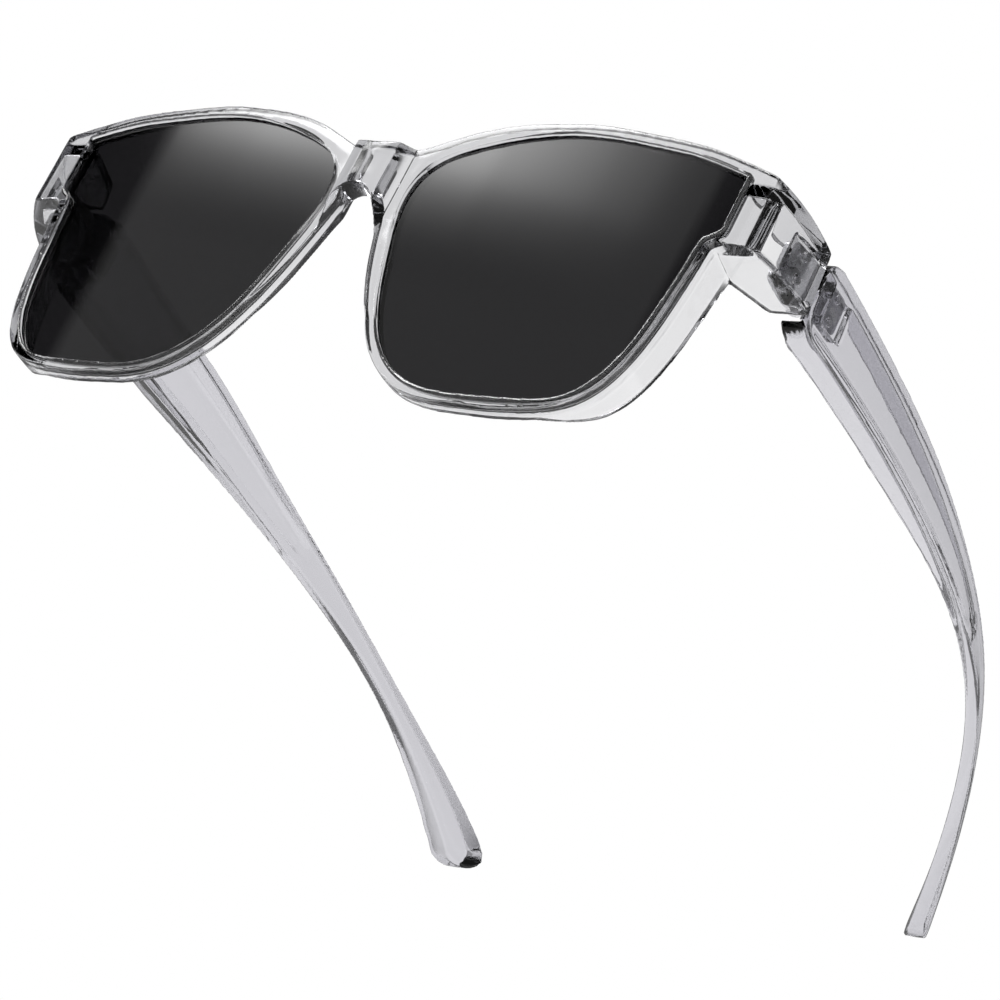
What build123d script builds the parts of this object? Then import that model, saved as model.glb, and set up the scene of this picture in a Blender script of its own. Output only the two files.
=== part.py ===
from build123d import *
import math
import os

os.makedirs("parts", exist_ok=True)

# Fitover sunglasses, in millimetres.
# +X is the wearer's left, the front faces -Y, the temples run towards +Y, +Z is up.
# The glasses stand on the lower rims and the temple tips, at z = 0.
# The side with +X is modelled, and the other side is its mirror image.

# Sizes marked on such a frame: lens, bridge and temple
lens_width = 60.0
bridge_width = 16.0
temple_length_back = 133.0

# Front seen from ahead
lens_height = 50.75
rim_width = 2.1
end_piece_reach = 4.3
end_piece_corner_radius = 1.2
brow_corner_radius = 0.9
brow_slope_deg = 16.2

# Front seen from above
front_turn_back = 4.85
front_bulge = 0.8
rim_depth = 3.4
bridge_bow = 2.9
bridge_flat_half = 4.3
bridge_crown = 0.45
bridge_foot_half = 6.0
bridge_rear = 1.2

# Bridge seen from ahead, measured down from the top of the lens opening
bridge_top_drop = 6.75
bridge_arch_drop = 15.35

# Lens sheet and the groove that holds it
lens_thickness = 1.2
lens_setback = 0.9
groove_depth = 0.7
groove_clearance = 0.05

# Shield behind the rim
shield_wall = 1.5
shield_depth_side = 9.0

# End piece and temple, a channel open towards the head
side_wall = 1.8
flange_thickness = 1.8
end_piece_rear = 19.0
end_piece_bottom = 35.4
end_piece_top_rear = 45.2
end_piece_bottom_rear = 33.0
end_piece_turn_shares = (0.62, 0.78)
side_lean_deg = 5.0
joint_gap = 0.3

# Temple seen from above
side_beyond_front = 5.6
side_bow_radius = 340.0
side_widest_back = 31.6
ear_bend_back = 95.0
ear_bend_radius = 184.0
temple_depth_front = 6.8
temple_depth_ear = 2.4
temple_depth_tip = 5.2

# Temple seen from the side
temple_height_front = 14.1
temple_bottom_front = 31.4
temple_tip_radius = 2.9
temple_tip_turn_deg = 50.0
temple_corner_radius = 4.0

# Hinge
hinge_axis_behind = 3.2
hinge_axis_inside = 5.4
hinge_height = 6.8
hinge_rise = 0.35
knuckle_radius = 1.35
knuckle_gap = 0.06
leaf_thickness = 0.9
front_leaf_length = 6.4
temple_leaf_length = 4.8
leaf_corner_radius = 1.2
leaf_margin = 0.6
leaf_gap = 0.25
knuckle_count = 5
screw_radius = 0.7
screw_clearance = 0.03
screw_head_radius = 1.25
screw_head_thickness = 0.5
screw_tip_overhang = 0.3
slot_width = 0.35
slot_depth = 0.25
pin_radius = 0.6
pin_clearance = 0.03
pin_depth = 1.2
pin_head_radius = 1.0
pin_head_thickness = 0.35
pin_spacing = 4.4

# One overrun serves every cut; steps divide a curve, and sides make a small bar look round
overrun = 3.0
outline_steps = 16
plan_steps = 6
pin_sides = 16
far = 200.0

# Lens opening, as shares of the lens width and height, from the upper outer corner
lens_corner_shares = (0.985, 0.917)
lens_lower_shares = (0.985, 0.710)
lens_step_shares = (0.937, 0.669)
lens_curve_shares = [
    (0.911, 0.396),
    (0.866, 0.183),
    (0.780, 0.052),
    (0.600, 0.009),
    (0.458, 0.0),
    (0.320, 0.018),
    (0.190, 0.111),
    (0.095, 0.283),
    (0.030, 0.515),
    (0.002, 0.733),
    (0.033, 0.828),
    (0.117, 0.897),
    (0.280, 0.966),
    (0.460, 1.0),
    (0.720, 0.982),
]
lens_step_tangent_shares = (-0.08, -1.0)
lens_lower_radius = 1.2
lens_step_radius = 2.6
lens_corner_radius = 0.6

# Upper edge of the front, as shares of the front's half width and of the lens height above the lens top
brow_shares = [
    (0.083, -0.117),
    (0.180, -0.054),
    (0.304, 0.007),
    (0.498, 0.037),
    (0.719, 0.014),
    (0.930, -0.039),
]
brow_end_share = -0.070

# Nose arch, as shares of the bridge width and of the lens height below the arch's top
nose_arch_shares = [
    (0.18, 0.02),
    (0.27, 0.06),
    (0.35, 0.13),
    (0.50, 0.28),
    (0.62, 0.37),
    (0.75, 0.445),
    (0.98, 0.52),
]
nose_tangent_shares = (0.80, -0.60)
plain_tangent_shares = (1.0, 1.0)

# Back edge of the shield, as shares of the front's half width and of the shield's depth
shield_shares = [
    (0.55, 0.0),
    (0.68, 0.03),
    (0.736, 0.22),
    (0.80, 0.52),
    (0.857, 0.73),
    (0.892, 0.83),
    (0.92, 1.0),
    (1.0, 1.3),
]
shield_root_share = 0.9

# Temple seen from the side: lower and upper edge, as shares of its length back and of its drop
temple_lower_shares = [(0.23, 0.017), (0.50, 0.064), (0.67, 0.178), (0.835, 0.474)]
temple_upper_shares = [(0.17, 0.044), (0.34, 0.095), (0.50, 0.177), (0.67, 0.317), (0.835, 0.549)]
temple_lower_tangent_shares = (1.0, -0.02)
temple_upper_tangent_shares = (1.0, -0.06)
temple_depth_places_shares = [0.17, 0.34, 0.50, 0.67, 0.84]
temple_depth_shares = [0.83, 0.61, 0.15, 0.0, 0.0]
temple_tip_depth_shares = [0.0, 0.0, 0.0, 0.0, 0.2]
channel_level_share = 0.46
channel_end_share = 0.62
channel_reach_share = 0.7
channel_run_out_shares = (-0.5, 1.0)

# Places worked out from the sizes above
rest_flat = 0.15
lens_bottom = rim_width - rest_flat
lens_top = lens_bottom + lens_height
half_front = bridge_width / 2 + lens_width + end_piece_reach
side_half_width = half_front + side_beyond_front
brow_corner_height = lens_top + brow_end_share * lens_height
arch_top = lens_top - bridge_arch_drop
side_middle = (end_piece_top_rear + end_piece_bottom_rear) / 2
hinge_middle = side_middle + hinge_rise
temple_front = end_piece_rear + joint_gap
temple_back = temple_front + temple_length_back
lean = math.tan(math.radians(side_lean_deg))
end_piece_foot_x = bridge_width / 2 + lens_step_shares[0] * lens_width + rim_width - shield_wall / 2


def front_y(x):
    """Front surface seen from above: a turned-back line with a slight bulge."""
    share = x / half_front
    return front_turn_back * share - 4 * front_bulge * share * (1 - share)


def side_x(y):
    """Outer face of the side at half height: a long arc that turns in more tightly at the ear."""
    arc = side_half_width - side_bow_radius + math.sqrt(side_bow_radius**2 - (y - side_widest_back) ** 2)
    return arc - max(0, y - ear_bend_back) ** 2 / (2 * ear_bend_radius)


def side_slope(y):
    """Direction of that arc ahead of the ear, as sideways travel for each step back."""
    return -(y - side_widest_back) / math.sqrt(side_bow_radius**2 - (y - side_widest_back) ** 2)


axis_x = side_x(end_piece_rear) - hinge_axis_inside
axis_y = end_piece_rear + hinge_axis_behind
seat_x = axis_x + knuckle_radius
temple_leaf_start = axis_y + knuckle_radius + leaf_gap
knuckle_height = (hinge_height - (knuckle_count - 1) * knuckle_gap) / knuckle_count
leaf_pin_y = {-1: end_piece_rear - front_leaf_length / 2, 1: temple_leaf_start + temple_leaf_length / 2}


def lens_point(shares):
    return (bridge_width / 2 + shares[0] * lens_width, lens_bottom + shares[1] * lens_height)


def from_ahead(sketch):
    """Cut a sketch of the front view right through, front to back."""
    return extrude(Plane.XZ * sketch, amount=far, both=True)


def from_side(sketch):
    """Cut a sketch of the side view right through, left to right."""
    return extrude(Plane.YZ * sketch, amount=far, both=True)


def from_above(sketch, leaning=0.0):
    """Cut a sketch of the plan right through, upright or leaning in towards the head."""
    middle = Pos(0, 0, side_middle) * sketch
    return extrude(middle, amount=far / 2, dir=(-leaning, 0, 1), both=True)


def box_between(low, high):
    size = [b - a for a, b in zip(low, high)]
    centre = [(a + b) / 2 for a, b in zip(low, high)]
    return Pos(*centre) * Box(*size)


def beside(place, direction, amount):
    """The point that lies an amount to the left of a place, seen along a direction."""
    length = math.hypot(*direction)
    return (place[0] - direction[1] / length * amount, place[1] + direction[0] / length * amount)


def beside_curve(curve, share, amount):
    """The point that lies an amount to the left of a curve, at a share of its length."""
    place = curve @ share
    along = curve % share
    return beside((place.X, place.Y), (along.X, along.Y), amount)


def meeting(place_a, along_a, place_b, along_b):
    """Where two straight lines cross, each given by a place and a direction."""
    cross = along_a[0] * along_b[1] - along_a[1] * along_b[0]
    gap = (place_b[0] - place_a[0], place_b[1] - place_a[1])
    share = (gap[0] * along_b[1] - gap[1] * along_b[0]) / cross
    return (place_a[0] + share * along_a[0], place_a[1] + share * along_a[1])


# Outlines of the front
def lens_outline(amount=0.0):
    """Outline of the lens opening, or the line that runs round outside it at an even distance."""
    corner = lens_point(lens_corner_shares)
    lower = lens_point(lens_lower_shares)
    step = lens_point(lens_step_shares)
    start_along = lens_step_tangent_shares
    end_along = (math.cos(math.radians(brow_slope_deg)), -math.sin(math.radians(brow_slope_deg)))
    points = [lens_point(shares) for shares in lens_curve_shares]
    curve = Spline(step, *points, corner, tangents=[start_along, end_along])
    down = (0, -1)
    inward = (step[0] - lower[0], step[1] - lower[1])
    outer_line = beside(corner, down, amount)
    step_line = beside(lower, inward, amount)
    new_corner = meeting(beside(corner, end_along, amount), end_along, outer_line, down)
    new_lower = meeting(outer_line, down, step_line, inward)
    new_step = meeting(step_line, inward, beside(step, start_along, amount), start_along)
    if amount:
        places = [index / outline_steps for index in range(1, outline_steps)]
        points = [beside_curve(curve, t, amount) for t in places]
        curve = Spline(new_step, *points, new_corner, tangents=[start_along, end_along])
    face = make_face([Line(new_corner, new_lower), Line(new_lower, new_step), curve])
    rounds = [
        (new_corner, lens_corner_radius + amount),
        (new_lower, lens_lower_radius + amount),
        (new_step, lens_step_radius - amount),
    ]
    for place, radius in rounds:
        face = fillet(face.vertices().sort_by_distance(Vector(*place))[0], radius)
    return face


def brow_outline():
    """Upper edge and nose edge of one half of the front, closed below across the lens."""
    slope = math.radians(brow_slope_deg)
    middle = (0, lens_top - bridge_top_drop)
    corner = (half_front, brow_corner_height)
    points = [(a * half_front, lens_top + b * lens_height) for a, b in brow_shares]
    upper = Spline(middle, *points, corner, tangents=[(1, 0), (math.cos(slope), -math.sin(slope))])
    foot = (half_front, end_piece_bottom)
    inner_foot = (half_front - end_piece_reach - rim_width, end_piece_bottom)
    lens_middle = lens_point((0.5, 0.5))
    arch = (0, arch_top)
    points = [(a * bridge_width, arch_top - b * lens_height) for a, b in nose_arch_shares]
    nose = Spline(
        arch, *points, tangents=[(1, 0), nose_tangent_shares], tangent_scalars=plain_tangent_shares
    )
    face = make_face(
        [
            upper,
            Line(corner, foot),
            Line(foot, inner_foot),
            Line(inner_foot, lens_middle),
            Line(lens_middle, points[-1]),
            nose,
            Line(arch, middle),
        ]
    )
    face = fillet(face.vertices().sort_by_distance(Vector(*foot))[0], end_piece_corner_radius)
    return fillet(face.vertices().sort_by_distance(Vector(*corner))[0], brow_corner_radius)


def front_layer(near, far_side):
    """Curved layer of one half of the front, between two depths behind its front surface."""
    places = [bridge_flat_half, (half_front + overrun + bridge_flat_half) / 2, half_front + overrun]
    near_line = ThreePointArc(*[(x, front_y(x) + near) for x in places])
    far_line = ThreePointArc(*[(x, front_y(x) + far_side) for x in places])
    face = make_face(
        [near_line, Line(near_line @ 1, far_line @ 1), far_line, Line(near_line @ 0, far_line @ 0)]
    )
    return from_above(face)


def bridge_layer():
    """The bridge bows forward, with a crease at each foot."""
    foot = bridge_foot_half
    crease = bridge_flat_half
    crease_y = bridge_crown - bridge_bow
    front_edge = ThreePointArc((-crease, crease_y), (0, -bridge_bow), (crease, crease_y))
    rear_edge = ThreePointArc(
        (-foot, front_y(foot) + rim_depth), (0, bridge_rear), (foot, front_y(foot) + rim_depth)
    )
    face = make_face(
        [
            front_edge,
            Line(front_edge @ 1, (foot, front_y(foot))),
            Line((foot, front_y(foot)), rear_edge @ 1),
            rear_edge,
            Line((-foot, front_y(foot)), rear_edge @ 0),
            Line(front_edge @ 0, (-foot, front_y(foot))),
        ]
    )
    return from_above(face)


# End piece
def end_piece_plan(inset, height):
    """Plan of the end piece at one height, with its outer edge moved in by a wall."""
    cut = overrun if inset else 0
    start = (half_front - inset, front_y(half_front))
    rear = (side_x(end_piece_rear) - inset - (height - side_middle) * lean, end_piece_rear)
    outer = Spline(start, rear, tangents=[end_piece_turn_shares, (side_slope(end_piece_rear), 1)])
    corners = [
        rear,
        (rear[0], end_piece_rear + cut),
        (side_x(end_piece_rear) - temple_depth_front - cut, end_piece_rear + cut),
        (end_piece_foot_x - cut, front_y(end_piece_foot_x) + shield_depth_side),
        (end_piece_foot_x - cut, front_y(half_front)),
        start,
    ]
    lines = [Line(a, b) for a, b in zip(corners, corners[1:]) if a != b]
    return Pos(0, 0, height) * make_face([outer, *lines])


def end_piece_block(inset):
    low = end_piece_bottom - 2 * overrun
    high = brow_corner_height + 2 * overrun
    return loft([end_piece_plan(inset, low), end_piece_plan(inset, high)], ruled=True)


def end_piece_side(inset):
    """Side view of the end piece, moved in by a flange."""
    start = front_y(half_front) - overrun
    rear = end_piece_rear + overrun
    slope_top = (end_piece_top_rear - brow_corner_height) / (end_piece_rear - front_y(half_front))
    slope_low = (end_piece_bottom_rear - end_piece_bottom) / (end_piece_rear - front_y(half_front))
    points = [
        (start, brow_corner_height - slope_top * overrun - inset),
        (rear, end_piece_top_rear + slope_top * overrun - inset),
        (rear, end_piece_bottom_rear + slope_low * overrun + inset),
        (start, end_piece_bottom - slope_low * overrun + inset),
    ]
    return make_face([Line(points[i - 1], points[i]) for i in range(4)])


# Shield behind the rim
def shield_band(rim):
    """Thin wall that carries the rim's outer and lower edge back, deepest at the side."""
    inside = lens_outline(rim_width - shield_wall)
    root = rim_depth * shield_root_share
    reach = shield_depth_side - root
    places = [(a * half_front, b) for a, b in shield_shares]
    back = Spline(*[(x, front_y(x) + root + b * reach) for x, b in places])
    corners = [(places[0][0], front_y(places[0][0])), (half_front, front_y(half_front))]
    plan = make_face([back, Line(back @ 0, corners[0]), Line(*corners), Line(corners[1], back @ 1)])
    below = box_between((0, -far, -far), (far, far, end_piece_bottom + flange_thickness))
    band = (from_ahead(rim) & from_above(plan) & below) - from_ahead(inside)
    return band - from_side(end_piece_side(flange_thickness / 2))


# Front frame
def hinge_pad():
    """Raised pad inside the end piece that the front leaf sits on."""
    rear = end_piece_rear
    half_pad = hinge_height / 2 + leaf_margin
    low = (seat_x, rear - front_leaf_length - leaf_margin, hinge_middle - half_pad)
    high = (side_x(rear) - side_wall / 2, rear, hinge_middle + half_pad)
    return box_between(low, high)


def front_half():
    """Rim, half bridge, shield and end piece of the left side."""
    rim = lens_outline(rim_width)
    plate = from_ahead(rim + brow_outline()) & (front_layer(0, rim_depth) + bridge_layer())
    wall = end_piece_block(0) & from_side(end_piece_side(0))
    behind_rim = box_between((0, front_y(half_front) + rim_depth, 0), (far, far, far))
    hollow = end_piece_block(side_wall) & from_side(end_piece_side(flange_thickness)) & behind_rim
    lens_space = from_ahead(lens_outline())
    groove = from_ahead(lens_outline(groove_depth)) & front_layer(
        lens_setback - groove_clearance, lens_setback + lens_thickness + groove_clearance
    )
    body = plate + (wall - hollow) + (hinge_pad() & wall) + shield_band(rim)
    body = body - lens_space - groove
    for place in pin_places(leaf_pin_y[-1]):
        body = body - pin_hole(place)
    return body


# Temple
def temple_edges():
    """Lower and upper edge of the temple seen from the side, from the hinge to the tip."""
    turn = math.radians(temple_tip_turn_deg)
    direction = (math.cos(turn), -math.sin(turn))
    centre = (temple_back - temple_tip_radius, temple_tip_radius)
    bottom = temple_bottom_front
    top = temple_bottom_front + temple_height_front
    edges = []
    for start_z, side, tangent, shares in (
        (bottom, -1, temple_lower_tangent_shares, temple_lower_shares),
        (top, 1, temple_upper_tangent_shares, temple_upper_shares),
    ):
        points = [(temple_front + a * temple_length_back, start_z * (1 - b)) for a, b in shares]
        end = beside(centre, direction, side * temple_tip_radius)
        edges.append(Spline((temple_front, start_z), *points, end, tangents=[tangent, direction]))
    tip = (centre[0] + direction[0] * temple_tip_radius, centre[1] + direction[1] * temple_tip_radius)
    return edges[0], edges[1], tip


def temple_side():
    """Side view of the temple: deep at the hinge, then a hook that turns down behind the ear."""
    lower, upper, tip = temple_edges()
    face = make_face([Line(lower @ 0, upper @ 0), lower, ThreePointArc(lower @ 1, tip, upper @ 1), upper])
    for corner in (lower @ 0, upper @ 0):
        face = fillet(face.vertices().sort_by_distance(corner)[0], temple_corner_radius)
    return face


def channel_side():
    """Side view of the channel: the temple's edges moved in by the flanges, open at the hinge."""
    lower, upper = temple_edges()[:2]
    places = [channel_reach_share * index / plan_steps for index in range(plan_steps + 1)]
    low = Spline(*[beside_curve(lower, share, flange_thickness) for share in places])
    high = Spline(*[beside_curve(upper, share, -flange_thickness) for share in places])
    return make_face([Line(low @ 0, high @ 0), low, Line(low @ 1, high @ 1), high])


def outer_curve(inset, start_y, end_y):
    """Line at an even distance inside the outer face, seen from above."""
    places = [start_y + (end_y - start_y) * index / plan_steps for index in range(plan_steps + 1)]
    return Spline(*[(side_x(y) - inset, y) for y in places])


def temple_plan():
    """Plan of the temple: its outer face and the edges of its flanges, which run together at the ear."""
    start_y = temple_front
    end_y = temple_back + overrun
    outer = outer_curve(0, start_y, end_y)
    points = [(side_x(start_y) - temple_depth_front, start_y)]
    spread = temple_depth_front - temple_depth_ear
    tip_spread = temple_depth_tip - temple_depth_ear
    for place, share, tip_share in zip(
        temple_depth_places_shares, temple_depth_shares, temple_tip_depth_shares
    ):
        y = temple_front + place * temple_length_back
        points.append((side_x(y) - temple_depth_ear - share * spread - tip_share * tip_spread, y))
    points.append((side_x(end_y) - temple_depth_tip, end_y))
    inner = Spline(*points)
    return make_face([outer, Line(outer @ 1, inner @ 1), inner, Line(outer @ 0, inner @ 0)])


def temple_channel():
    """Hollow on the head side of the temple, between its two flanges, that runs out at the ear."""
    start_y = temple_front - 2 * overrun
    level_y = temple_front + channel_level_share * temple_length_back
    end_y = temple_front + channel_end_share * temple_length_back
    inner_x = side_x(temple_front) - temple_depth_front - overrun
    wall = outer_curve(side_wall, start_y, level_y)
    run_out = Spline(wall @ 1, (inner_x, end_y), tangents=[wall % 1, channel_run_out_shares])
    corner = (inner_x, start_y)
    plan = make_face([wall, run_out, Line((inner_x, end_y), corner), Line(corner, wall @ 0)])
    mouth_top = temple_bottom_front + temple_height_front - flange_thickness
    mouth = box_between(
        (-far, start_y, temple_bottom_front + flange_thickness), (far, temple_front + overrun, mouth_top)
    )
    return from_above(plan, lean) & (from_side(channel_side()) + mouth)


def temple():
    body = from_above(temple_plan(), lean) & from_side(temple_side())
    body = body - temple_channel()
    behind = temple_leaf_start
    body = body - box_between((0, 0, -far), (axis_x, behind, far))
    half_pad = hinge_height / 2 + leaf_margin
    pad_end = behind + temple_leaf_length + leaf_margin
    low = (seat_x, behind, hinge_middle - half_pad)
    high = (side_x(temple_front) - side_wall / 2, pad_end, hinge_middle + half_pad)
    body = body + box_between(low, high)
    for place in pin_places(leaf_pin_y[1]):
        body = body - pin_hole(place)
    return body


# Hinge
def pin_places(y):
    """Two pins across the middle of a leaf, one above the other."""
    return [(seat_x, y, hinge_middle + side * pin_spacing / 2) for side in (-1, 1)]


def cross_bar(radius, start, end, y, z):
    """Bar from side to side, with enough flats to look round at a pin's size."""
    ring = Plane.YZ * RegularPolygon(radius, pin_sides)
    return Pos(start, y, z) * extrude(ring, amount=end - start)


def pin_hole(place):
    x, y, z = place
    return cross_bar(pin_radius + pin_clearance, x - leaf_thickness - overrun, x + pin_depth, y, z)


def leaf_pin(place):
    """Pin with a flat head that rests on the leaf."""
    x, y, z = place
    face = x - leaf_thickness
    shank = cross_bar(pin_radius, face, x + pin_depth - pin_clearance, y, z)
    return shank + cross_bar(pin_head_radius, face - pin_head_thickness, face, y, z)


def hinge_leaf(direction, own):
    """Flat leaf with rolled knuckles: direction is -1 on the front and 1 on the temple."""
    near = axis_y + direction * (knuckle_radius + leaf_gap)
    end = end_piece_rear - front_leaf_length if direction < 0 else near + temple_leaf_length
    low_z = hinge_middle - hinge_height / 2
    inner_x = seat_x - leaf_thickness
    leaf = box_between((inner_x, min(near, end), low_z), (seat_x, max(near, end), low_z + hinge_height))
    end_edges = leaf.edges().filter_by(Axis.X).sort_by(Axis.Y, reverse=direction > 0)[:2]
    leaf = fillet(end_edges, leaf_corner_radius)
    for index in own:
        base = low_z + index * (knuckle_height + knuckle_gap)
        arm = box_between(
            (inner_x, min(axis_y, near), base), (seat_x, max(axis_y, near), base + knuckle_height)
        )
        roll = Pos(axis_x, axis_y, base + knuckle_height / 2) * Cylinder(knuckle_radius, knuckle_height)
        leaf = leaf + arm + roll
    for place in pin_places(leaf_pin_y[direction]):
        leaf = leaf - pin_hole(place)
    bore = Cylinder(screw_radius + screw_clearance, hinge_height + overrun)
    return leaf - Pos(axis_x, axis_y, hinge_middle) * bore


def hinge_screw():
    """Screw with a slotted head, down through all the knuckles."""
    top = hinge_middle + hinge_height / 2
    length = hinge_height + screw_tip_overhang
    shank = Pos(axis_x, axis_y, top - length / 2) * Cylinder(screw_radius, length)
    head_middle = top + screw_head_thickness / 2
    head = Pos(axis_x, axis_y, head_middle) * Cylinder(screw_head_radius, screw_head_thickness)
    slot = Pos(axis_x, axis_y, top + screw_head_thickness) * Box(
        2 * (screw_head_radius + overrun), slot_width, 2 * slot_depth
    )
    return shank + head - slot


# Lens
def lens():
    """Thin curved sheet whose edge runs round in the rim's groove."""
    edge = lens_outline(groove_depth - groove_clearance)
    return from_ahead(edge) & front_layer(lens_setback, lens_setback + lens_thickness)


# All the pieces of the left side, then their mirror images
left_half = front_half()
pieces = {
    "lens": lens(),
    "temple": temple(),
    "hinge_front_leaf": hinge_leaf(-1, (0, 2, 4)),
    "hinge_temple_leaf": hinge_leaf(1, (1, 3)),
    "hinge_screw": hinge_screw(),
    "front_leaf_pins": Compound([leaf_pin(place) for place in pin_places(leaf_pin_y[-1])]),
    "temple_leaf_pins": Compound([leaf_pin(place) for place in pin_places(leaf_pin_y[1])]),
}
standing = Pos(0, -(temple_back - bridge_bow) / 2, 0)
below_table = box_between((-far, -far, -far), (far, far, 0))
front = (left_half + mirror(left_half, about=Plane.YZ)) - below_table
nodes = {"front_frame": standing * front}
for name, piece in pieces.items():
    nodes[name + "_left"] = standing * piece
    nodes[name + "_right"] = standing * mirror(piece, about=Plane.YZ)
for name, node in nodes.items():
    export_step(node, f"parts/{name}.step")
print("hinge axis", axis_x, axis_y - (temple_back - bridge_bow) / 2, hinge_middle)
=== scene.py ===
import math
from typing import NamedTuple

import bpy
import numpy as np
from mathutils import Matrix, Vector
from mathutils.kdtree import KDTree


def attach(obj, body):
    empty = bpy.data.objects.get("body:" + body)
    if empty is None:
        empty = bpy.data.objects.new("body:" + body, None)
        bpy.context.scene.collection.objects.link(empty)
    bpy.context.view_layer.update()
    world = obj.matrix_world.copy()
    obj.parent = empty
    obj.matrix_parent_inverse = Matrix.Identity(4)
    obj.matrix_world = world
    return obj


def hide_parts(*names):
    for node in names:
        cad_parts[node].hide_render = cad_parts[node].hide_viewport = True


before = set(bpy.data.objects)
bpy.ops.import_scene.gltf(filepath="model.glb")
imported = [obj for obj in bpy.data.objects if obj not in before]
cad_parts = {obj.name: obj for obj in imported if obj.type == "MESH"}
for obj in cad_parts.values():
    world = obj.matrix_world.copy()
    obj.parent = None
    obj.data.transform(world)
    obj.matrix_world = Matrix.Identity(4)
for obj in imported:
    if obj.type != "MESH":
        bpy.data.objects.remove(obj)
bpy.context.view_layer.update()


class Pattern(NamedTuple):
    """A noise pattern: its features to the metre, its octaves and how strong the fine ones are."""

    scale: float
    detail: float
    roughness: float = 0.5


# Lengths are in metres, angles in degrees, and tones run from 0, black, to 1, white
SIDES = ("left", "right")
UP = Vector((0.0, 0.0, 1.0))
WHITE = 1.0

# Camera, where the photograph was taken from: ahead, on the wearer's left and well below
CAMERA_AZIMUTH = 41.96
CAMERA_ELEVATION = -25.47
CAMERA_ROLL = 26.98
CAMERA_DISTANCE = 0.9028
CAMERA_TARGET = Vector((0.0236, -0.03885, 0.0053))
CAMERA_LENS_MM = 205.43
CAMERA_SENSOR_MM = 36.0
CAMERA_NEAR = 0.05
CAMERA_FAR = 20.0

# Mouldings: the net that each is rebuilt with, and the passes that round its edges
FRONT_GRID = 0.00022
TEMPLE_GRID = 0.00028
ROUNDING_SHARE = 0.5
EDGE_ROUNDS = 6
FRONT_ROUNDS = 22
TEMPLE_ROUNDS = 12

# Seat of the lens: this near to a lens's edge the front's later passes move no point, and beyond it
# they fade in. The edge is measured from points one step apart
SEAT_SHARP = 0.0003
SEAT_FADE = 0.0005
SEAT_STEP = 0.0002

# Evening out: facets that turn by less than about this angle are taken for one surface
EVEN_ANGLE = 9.0
EVEN_SPREAD = 1 - math.cos(math.radians(EVEN_ANGLE))
EVEN_PASSES = 80
SETTLE_PASSES = 20

# Clear plastic: a long moulded ripple with fine marks on it, and places rubbed a little dull
BUMP_HEIGHT = 0.00002
PLASTIC_IOR = 1.5
PLASTIC_RIPPLE = Pattern(120.0, 2.0)
PLASTIC_MARKS = Pattern(900.0, 3.0)
PLASTIC_MARK_SHARE = 0.1
PLASTIC_BUMP = 0.25
PLASTIC_RUBBED = Pattern(60.0, 4.0)
PLASTIC_RUBBED_RANGE = (0.42, 0.75)
PLASTIC_ROUGHNESS = (0.01, 0.05)
PLASTIC_SHADE = 0.985

# Lens: dark polarised sheet with faint smears
LENS_IOR = 1.58
LENS_SMEAR = Pattern(45.0, 5.0, 0.6)
LENS_SMEAR_RANGE = (0.45, 0.8)
LENS_ROUGHNESS = (0.005, 0.03)
LENS_DARK = (0.0105, 0.0103, 0.0112)
LENS_LIGHT = (0.0120, 0.0116, 0.0128)

# Metal: darker patches, and a brushed grain that is smoother and rougher than the metal on average
METAL_GRAIN = Pattern(2500.0, 3.0)
METAL_GRAIN_RANGE = (0.3, 0.7)
METAL_BUMP = 0.3
METAL_SMOOTH_SHARE = 0.8
METAL_ROUGH_SHARE = 1.3
METAL_PATCHES = Pattern(400.0, 3.0)
METAL_SHADE = 0.85

# Softbox that the lenses mirror. Places are sines of the angle across it and of the angle up
BOX_ACROSS = (
    (-0.25, 0.0),
    (-0.178, 0.01),
    (-0.142, 0.12),
    (-0.108, 0.32),
    (-0.064, 0.66),
    (-0.03, 0.95),
    (0.04, 0.78),
    (0.12, 0.80),
    (0.15, 0.84),
    (0.18, 0.72),
    (0.20, 0.58),
    (0.219, 0.34),
    (0.232, 0.03),
    (0.25, 0.0),
    (0.30, 0.0),
)
BOX_UP = ((0.022, 0.0), (0.0353, 0.08), (0.0486, 0.75), (0.060, 1.0))
BOX_LEAN = 0.1
BOX_STRENGTH = 7.5

# Dim panel behind the softbox, and beyond its edge, which is a cosine of the angle to the middle,
# the plain set: a bright table under a dark room
PANEL_LEFT = (-0.182, -0.176)
PANEL_RIGHT = (0.222, 0.232)
PANEL_TONE = 0.27
SET_EDGE = (0.90, 0.945)
ROOM_HEIGHT = (-0.5, 0.15)
ROOM_TONES = (0.9, 0.2)

# What shows through the plastic: white ahead, with black flags that draw its edges. Places are
# sines of the height and of the angle to either side, and cosines of the angle to one bright window
CEILING_HEIGHT = (0.82, 0.92)
CEILING_TONES = (1.0, 0.12)
CYCLORAMA = ((-1.0, 0.12), (-0.72, 0.12), (-0.51, 0.5), (-0.16, 0.5), (0.19, 0.95), (0.4, 1.0))
FLAGS = ((0.0, 1.0), (0.42, 1.0), (0.60, 0.35), (0.76, 0.12), (0.90, 0.12), (0.96, 0.7), (1.0, 0.7))
WINDOW_TOWARDS = Vector((-0.60, -0.80, 0.0))
WINDOW_EDGE = (0.73, 0.82)

# Plain light on everything that isn't mirrored or seen through, the key lamp and the floor
AMBIENT = 0.9
LAMP_PLACE = Vector((-0.5, -0.6, 0.9))
LAMP_TARGET = Vector((0.0, 0.0, 0.02))
LAMP_SIZE = 0.5
LAMP_WATTS = 4.0
FLOOR_HALF = 3.0
FLOOR_DROP = 0.0001
FLOOR_TONE = 0.93


def link_object(name, data):
    """A new object in the scene."""
    made = bpy.data.objects.new(name, data)
    bpy.context.collection.objects.link(made)
    return made


def empty_tree(owner):
    """The node tree of a material or world, without the nodes that it starts with."""
    owner.use_nodes = True
    owner.node_tree.nodes.clear()
    return owner.node_tree


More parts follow.
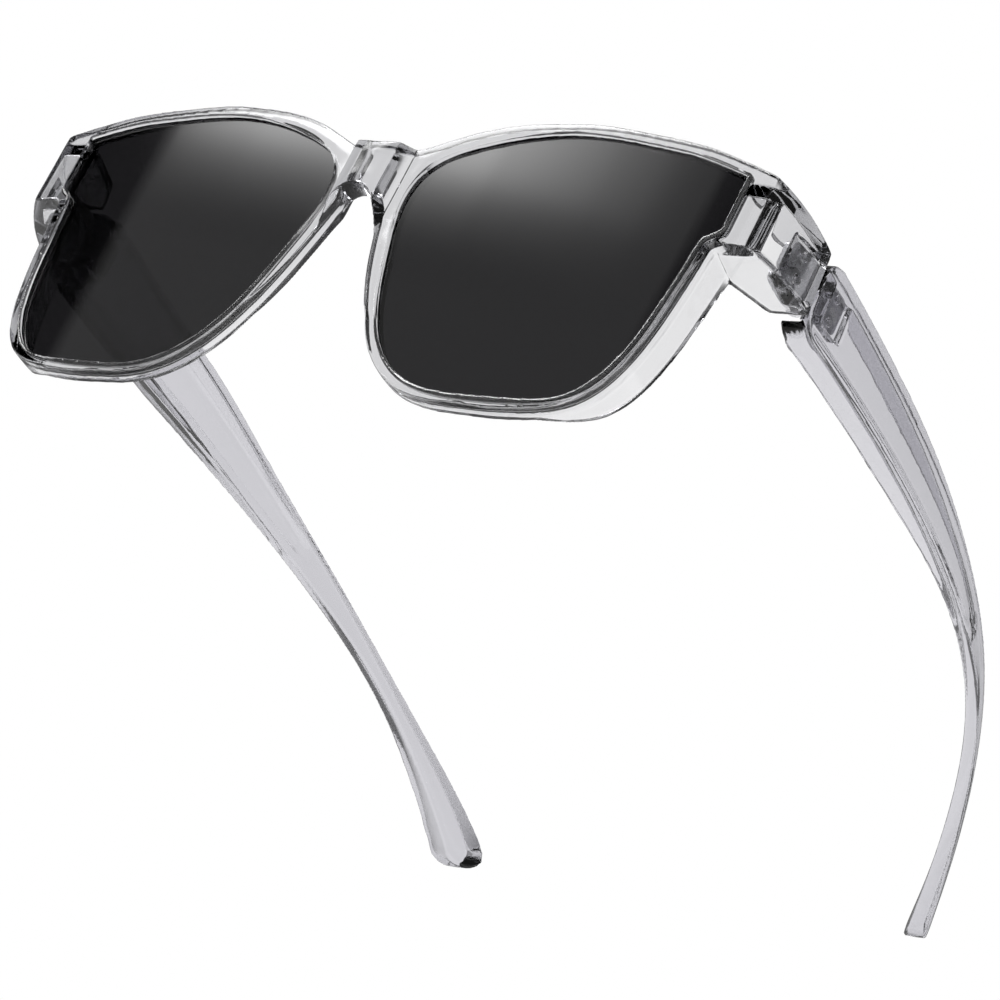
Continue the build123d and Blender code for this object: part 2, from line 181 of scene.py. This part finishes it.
def feed(tree, value, socket):
    """Links a socket to another node's value, or sets it to a plain number."""
    if isinstance(value, (int, float)):
        socket.default_value = value
    else:
        tree.links.new(value, socket)


def math_node(tree, operation, *values):
    node = tree.nodes.new("ShaderNodeMath")
    node.operation = operation
    for value, socket in zip(values, node.inputs):
        feed(tree, value, socket)
    return node.outputs[0]


def ramp(tree, source, source_range, result_range):
    """Maps one range of a value to another, kept inside its ends."""
    node = tree.nodes.new("ShaderNodeMapRange")
    node.clamp = True
    node.inputs["From Min"].default_value, node.inputs["From Max"].default_value = source_range
    node.inputs["To Min"].default_value, node.inputs["To Max"].default_value = result_range
    tree.links.new(source, node.inputs["Value"])
    return node.outputs["Result"]


def curve(tree, source, points):
    """Maps a value through a smooth curve, given by points over the whole range that counts."""
    start, end = points[0][0], points[-1][0]
    places = [((place - start) / (end - start), value) for place, value in points]
    node = tree.nodes.new("ShaderNodeFloatCurve")
    line = node.mapping.curves[0]
    line.points[0].location = places[0]
    line.points[1].location = places[-1]
    for place in places[1:-1]:
        line.points.new(*place)
    node.mapping.update()
    tree.links.new(ramp(tree, source, (start, end), (0.0, 1.0)), node.inputs["Value"])
    return node.outputs["Value"]


def dot(tree, vector, direction):
    node = tree.nodes.new("ShaderNodeVectorMath")
    node.operation = "DOT_PRODUCT"
    tree.links.new(vector, node.inputs[0])
    node.inputs[1].default_value = direction
    return node.outputs["Value"]


def mix_values(tree, factor, low, high):
    node = tree.nodes.new("ShaderNodeMix")
    for value, name in ((factor, "Factor"), (low, "A"), (high, "B")):
        feed(tree, value, node.inputs[name])
    return node.outputs["Result"]


def mix_colours(tree, factor, low, high):
    node = tree.nodes.new("ShaderNodeMix")
    node.data_type = "RGBA"
    tree.links.new(factor, node.inputs["Factor"])
    node.inputs["A"].default_value = (*low, 1)
    node.inputs["B"].default_value = (*high, 1)
    return node.outputs["Result"]


def noise(tree, place, pattern):
    node = tree.nodes.new("ShaderNodeTexNoise")
    node.inputs["Scale"].default_value = pattern.scale
    node.inputs["Detail"].default_value = pattern.detail
    node.inputs["Roughness"].default_value = pattern.roughness
    tree.links.new(place, node.inputs["Vector"])
    return node.outputs["Fac"]


def shaded(colour, share):
    """A darker tone of a colour."""
    return [channel * share for channel in colour]


def start_material(name):
    """A new material, its tree, its shader and output, and the place on the object for its patterns."""
    material = bpy.data.materials.new(name)
    tree = empty_tree(material)
    shader = tree.nodes.new("ShaderNodeBsdfPrincipled")
    output = tree.nodes.new("ShaderNodeOutputMaterial")
    tree.links.new(shader.outputs["BSDF"], output.inputs["Surface"])
    place = tree.nodes.new("ShaderNodeTexCoord").outputs["Object"]
    return material, tree, shader, output, place


def emboss(tree, shader, height, strength):
    """Lets a pattern stand up a little from the surface."""
    bump = tree.nodes.new("ShaderNodeBump")
    bump.inputs["Strength"].default_value = strength
    bump.inputs["Distance"].default_value = BUMP_HEIGHT
    tree.links.new(height, bump.inputs["Height"])
    tree.links.new(bump.outputs["Normal"], shader.inputs["Normal"])


def clear_plastic(name, colour, smoke, density):
    """Polished clear plastic, see-through and lightly smoky, rippled by its mould and a little rubbed."""
    material, tree, shader, output, place = start_material(name)
    shader.inputs["Transmission Weight"].default_value = 1.0
    shader.inputs["IOR"].default_value = PLASTIC_IOR
    rubbed = noise(tree, place, PLASTIC_RUBBED)
    roughness = ramp(tree, rubbed, PLASTIC_RUBBED_RANGE, PLASTIC_ROUGHNESS)
    tree.links.new(roughness, shader.inputs["Roughness"])
    tint = mix_colours(tree, rubbed, shaded(colour, PLASTIC_SHADE), colour)
    tree.links.new(tint, shader.inputs["Base Color"])
    marks = math_node(tree, "MULTIPLY", noise(tree, place, PLASTIC_MARKS), PLASTIC_MARK_SHARE)
    height = math_node(tree, "ADD", noise(tree, place, PLASTIC_RIPPLE), marks)
    emboss(tree, shader, height, PLASTIC_BUMP)
    volume = tree.nodes.new("ShaderNodeVolumeAbsorption")
    volume.inputs["Color"].default_value = (*smoke, 1)
    volume.inputs["Density"].default_value = density
    tree.links.new(volume.outputs["Volume"], output.inputs["Volume"])
    return material


def lens_tint(name):
    """Dark polarised lens: nearly opaque and very glossy, with faint smears."""
    material, tree, shader, _, place = start_material(name)
    shader.inputs["Transmission Weight"].default_value = 1.0
    shader.inputs["IOR"].default_value = LENS_IOR
    smear = noise(tree, place, LENS_SMEAR)
    tree.links.new(ramp(tree, smear, LENS_SMEAR_RANGE, LENS_ROUGHNESS), shader.inputs["Roughness"])
    tree.links.new(mix_colours(tree, smear, LENS_DARK, LENS_LIGHT), shader.inputs["Base Color"])
    return material


def metal(name, colour, roughness):
    """Stamped nickel-plated metal with a brushed grain and darker patches."""
    material, tree, shader, _, place = start_material(name)
    shader.inputs["Metallic"].default_value = 1.0
    grain = noise(tree, place, METAL_GRAIN)
    ends = (roughness * METAL_SMOOTH_SHARE, roughness * METAL_ROUGH_SHARE)
    tree.links.new(ramp(tree, grain, METAL_GRAIN_RANGE, ends), shader.inputs["Roughness"])
    tint = mix_colours(tree, noise(tree, place, METAL_PATCHES), shaded(colour, METAL_SHADE), colour)
    tree.links.new(tint, shader.inputs["Base Color"])
    emboss(tree, shader, grain, METAL_BUMP)
    return material


def lens_edges():
    """Points along every edge of both lenses as seen from ahead, to measure distances from."""
    places = []
    for side in SIDES:
        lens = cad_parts["lens_" + side]
        points = [lens.matrix_world @ vertex.co for vertex in lens.data.vertices]
        for edge in lens.data.edges:
            start, end = (points[index] for index in edge.vertices)
            steps = max(1, math.ceil((end - start).length / SEAT_STEP))
            places += [start.lerp(end, step / steps) for step in range(steps)]
    tree = KDTree(len(places))
    for index, place in enumerate(places):
        tree.insert((place.x, 0, place.z), index)
    tree.balance()
    return tree


def seat_weights(mesh, seat):
    """How strongly each point is rounded: not at all at the seat of the lens, fully away from it."""
    weights = []
    for vertex in mesh.vertices:
        gap = seat.find((vertex.co.x, 0, vertex.co.z))[2]
        weights.append(min(1.0, max(0.0, (gap - SEAT_SHARP) / SEAT_FADE)))
    return weights


def with_modifier(mesh, kind, weights=None, **settings):
    """The mesh that one modifier makes of another, with a weight for each point if it is given any."""
    draft = link_object("draft", mesh)
    modifier = draft.modifiers.new("change", kind)
    for key, value in settings.items():
        setattr(modifier, key, value)
    if weights:
        group = draft.vertex_groups.new(name="weights")
        modifier.vertex_group = group.name
        for index, weight in enumerate(weights):
            if weight > 0:
                group.add((index,), weight, "REPLACE")
    evaluated = draft.evaluated_get(bpy.context.evaluated_depsgraph_get())
    made = bpy.data.meshes.new_from_object(evaluated)
    bpy.data.objects.remove(draft)
    return made


def read(sequence, name, width, kind=float):
    """One value of a whole mesh as an array with a row for each element."""
    values = np.empty(len(sequence) * width, dtype=kind)
    sequence.foreach_get(name, values)
    return values.reshape(-1, width)


def move_points(mesh, places):
    mesh.vertices.foreach_set("co", places.ravel())
    mesh.update()


def gather(edges, count, to_first, to_second):
    """Adds up what each point receives over its edges."""
    total = np.zeros((count, to_first.shape[1]))
    for column in range(to_first.shape[1]):
        total[:, column] = np.bincount(edges[:, 0], to_first[:, column], count)
        total[:, column] += np.bincount(edges[:, 1], to_second[:, column], count)
    return total


def kinship(normals, edges):
    """How surely the two ends of each edge lie on one surface, from 0 to 1."""
    cosine = (normals[edges[:, 0]] * normals[edges[:, 1]]).sum(axis=1, keepdims=True)
    return np.exp((cosine - 1) / EVEN_SPREAD)


def part_along(step, direction):
    """The part of each step that runs along its direction."""
    return (step * direction).sum(axis=1, keepdims=True) * direction


def even_out(mesh):
    """Takes the flats of the solid's net out of the surface and keeps its real edges."""
    count = len(mesh.vertices)
    places = read(mesh.vertices, "co", 3)
    normals = read(mesh.vertex_normals, "vector", 3)
    edges = read(mesh.edges, "vertices", 2, np.int32)
    first, second = edges[:, 0], edges[:, 1]
    for _ in range(EVEN_PASSES):
        weight = kinship(normals, edges)
        normals = normals + gather(edges, count, weight * normals[second], weight * normals[first])
        normals /= np.linalg.norm(normals, axis=1, keepdims=True)
    weight = kinship(normals, edges)
    shares = 1 + gather(edges, count, weight, weight)
    for _ in range(SETTLE_PASSES):
        step = places[second] - places[first]
        to_first = part_along(step, normals[second]) * weight
        to_second = -part_along(step, normals[first]) * weight
        places = places + gather(edges, count, to_first, to_second) / shares
    move_points(mesh, places)


def moulded(node, body, grid, rounds, material, seat=None):
    """Rebuilds a moulded part from its solid, with edges rounded as a mould leaves them."""
    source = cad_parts[node]
    mesh = source.data.copy()
    mesh.transform(source.matrix_world)
    corners = read(mesh.vertices, "co", 3)
    mesh = with_modifier(mesh, "REMESH", mode="VOXEL", voxel_size=grid)
    mesh = with_modifier(mesh, "SMOOTH", factor=ROUNDING_SHARE, iterations=EDGE_ROUNDS)
    weights = seat_weights(mesh, seat) if seat else None
    mesh = with_modifier(mesh, "SMOOTH", weights, factor=ROUNDING_SHARE, iterations=rounds)
    even_out(mesh)
    # Rounding can push a point a hair past the solid's own box
    places = read(mesh.vertices, "co", 3)
    move_points(mesh, np.clip(places, corners.min(axis=0), corners.max(axis=0)))
    piece = link_object(node + "_moulded", mesh)
    mesh.materials.clear()
    mesh.materials.append(material)
    mesh.shade_smooth()
    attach(piece, body)
    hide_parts(node)


def dress(node, material):
    """Gives a solid that stays as it is its finish."""
    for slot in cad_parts[node].material_slots:
        slot.material = material


def towards_camera():
    """The direction from the object to the camera."""
    azimuth = math.radians(CAMERA_AZIMUTH)
    elevation = math.radians(CAMERA_ELEVATION)
    level = math.cos(elevation)
    return Vector((math.sin(azimuth) * level, -math.cos(azimuth) * level, math.sin(elevation)))


def make_camera():
    back = towards_camera()
    data = bpy.data.cameras.new("camera")
    data.sensor_width = CAMERA_SENSOR_MM
    data.lens = CAMERA_LENS_MM
    data.clip_start = CAMERA_NEAR
    data.clip_end = CAMERA_FAR
    camera = link_object("camera", data)
    camera.location = CAMERA_TARGET + back * CAMERA_DISTANCE
    facing = (-back).to_track_quat("-Z", "Y").to_matrix().to_4x4()
    roll = Matrix.Rotation(math.radians(CAMERA_ROLL), 4, "Z")
    camera.rotation_mode = "QUATERNION"
    camera.rotation_quaternion = (facing @ roll).to_quaternion()
    bpy.context.scene.camera = camera


def reflected_studio(tree, direction):
    """What polished surfaces mirror: a softbox that fades at its ends, on a dim panel in a plain set."""
    forward = -towards_camera()
    middle = Vector((forward.x, -forward.y, forward.z))
    across = middle.cross(UP).normalized()
    sideways = dot(tree, direction, across)
    upwards = dot(tree, direction, across.cross(middle))
    lean = math_node(tree, "MULTIPLY", math_node(tree, "MINIMUM", sideways, 0.0), BOX_LEAN)
    rise = curve(tree, math_node(tree, "ADD", upwards, lean), BOX_UP)
    glow = math_node(tree, "MULTIPLY", curve(tree, sideways, BOX_ACROSS), rise)
    box = math_node(tree, "MULTIPLY", glow, BOX_STRENGTH)
    left = ramp(tree, sideways, PANEL_LEFT, (0.0, PANEL_TONE))
    right = ramp(tree, sideways, PANEL_RIGHT, (1.0, 0.0))
    lit = math_node(tree, "ADD", box, math_node(tree, "MULTIPLY", left, right))
    room = ramp(tree, dot(tree, direction, UP), ROOM_HEIGHT, ROOM_TONES)
    inside = ramp(tree, dot(tree, direction, middle), SET_EDGE, (0.0, 1.0))
    return mix_values(tree, inside, room, lit)


def refracted_studio(tree, direction):
    """What shows through clear plastic: a white cyclorama with black flags that draw its edges."""
    up = dot(tree, direction, UP)
    ceiling = ramp(tree, up, CEILING_HEIGHT, CEILING_TONES)
    height = math_node(tree, "MULTIPLY", ceiling, curve(tree, up, CYCLORAMA))
    across = towards_camera().cross(UP).normalized()
    flags = curve(tree, math_node(tree, "ABSOLUTE", dot(tree, direction, across)), FLAGS)
    window = ramp(tree, dot(tree, direction, WINDOW_TOWARDS), WINDOW_EDGE, (0.0, 1.0))
    return math_node(tree, "MULTIPLY", height, math_node(tree, "MAXIMUM", flags, window))


def make_world():
    """White behind the object, plain light on it, and a studio for what is mirrored or seen through."""
    world = bpy.data.worlds.new("studio")
    bpy.context.scene.world = world
    tree = empty_tree(world)
    path = tree.nodes.new("ShaderNodeLightPath")
    direction = tree.nodes.new("ShaderNodeTexCoord").outputs["Generated"]
    through = path.outputs["Is Transmission Ray"]
    # A refracted ray counts as glossy too, so only what is left over is mirrored
    mirrored = math_node(tree, "SUBTRACT", path.outputs["Is Glossy Ray"], through)
    level = mix_values(tree, through, AMBIENT, refracted_studio(tree, direction))
    level = mix_values(tree, mirrored, level, reflected_studio(tree, direction))
    level = mix_values(tree, path.outputs["Is Camera Ray"], level, WHITE)
    background = tree.nodes.new("ShaderNodeBackground")
    background.inputs["Color"].default_value = (WHITE, WHITE, WHITE, 1)
    tree.links.new(level, background.inputs["Strength"])
    output = tree.nodes.new("ShaderNodeOutputWorld")
    tree.links.new(background.outputs[0], output.inputs["Surface"])


def make_floor():
    """Pale floor that shows only from above, because the photograph looks up from below it."""
    turns = ((-1, -1), (1, -1), (1, 1), (-1, 1))
    corners = [(x * FLOOR_HALF, y * FLOOR_HALF, -FLOOR_DROP) for x, y in turns]
    mesh = bpy.data.meshes.new("floor")
    mesh.from_pydata(corners, [], [range(len(corners))])
    floor = link_object("floor", mesh)
    material = bpy.data.materials.new("pale_floor")
    tree = empty_tree(material)
    matt = tree.nodes.new("ShaderNodeBsdfDiffuse")
    matt.inputs["Color"].default_value = (FLOOR_TONE, FLOOR_TONE, FLOOR_TONE, 1)
    mix = tree.nodes.new("ShaderNodeMixShader")
    output = tree.nodes.new("ShaderNodeOutputMaterial")
    tree.links.new(tree.nodes.new("ShaderNodeNewGeometry").outputs["Backfacing"], mix.inputs[0])
    tree.links.new(matt.outputs[0], mix.inputs[1])
    tree.links.new(tree.nodes.new("ShaderNodeBsdfTransparent").outputs[0], mix.inputs[2])
    tree.links.new(mix.outputs[0], output.inputs["Surface"])
    mesh.materials.append(material)


def make_key_lamp():
    data = bpy.data.lights.new("key", "AREA")
    data.shape = "DISK"
    data.size = LAMP_SIZE
    data.energy = LAMP_WATTS
    lamp = link_object("key", data)
    lamp.location = LAMP_PLACE
    lamp.rotation_mode = "QUATERNION"
    lamp.rotation_quaternion = (LAMP_TARGET - LAMP_PLACE).to_track_quat("-Z", "Y")


front_plastic = clear_plastic(
    "smoke_clear_front", colour=(0.97, 0.97, 0.975), smoke=(0.30, 0.30, 0.33), density=130.0
)
temple_plastic = clear_plastic(
    "smoke_clear_temple", colour=(0.66, 0.655, 0.69), smoke=(0.30, 0.30, 0.34), density=25.0
)
screw_metal = metal("screw_nickel", colour=(0.70, 0.70, 0.72), roughness=0.25)
finishes = {
    "lens": lens_tint("dark_lens"),
    "hinge_front_leaf": metal("hinge_nickel", colour=(0.90, 0.90, 0.92), roughness=0.3),
    "hinge_temple_leaf": metal("temple_hinge_nickel", colour=(0.86, 0.86, 0.88), roughness=0.3),
    "hinge_screw": screw_metal,
    "front_leaf_pins": screw_metal,
    "temple_leaf_pins": screw_metal,
}

moulded("front_frame", "front", FRONT_GRID, FRONT_ROUNDS, front_plastic, lens_edges())
for side in SIDES:
    body = f"temple_{side}_body"
    moulded("temple_" + side, body, TEMPLE_GRID, TEMPLE_ROUNDS, temple_plastic)
    for name, finish in finishes.items():
        dress(f"{name}_{side}", finish)

make_camera()
make_world()
make_floor()
make_key_lamp()

scene = bpy.context.scene
scene.view_settings.view_transform = "Standard"
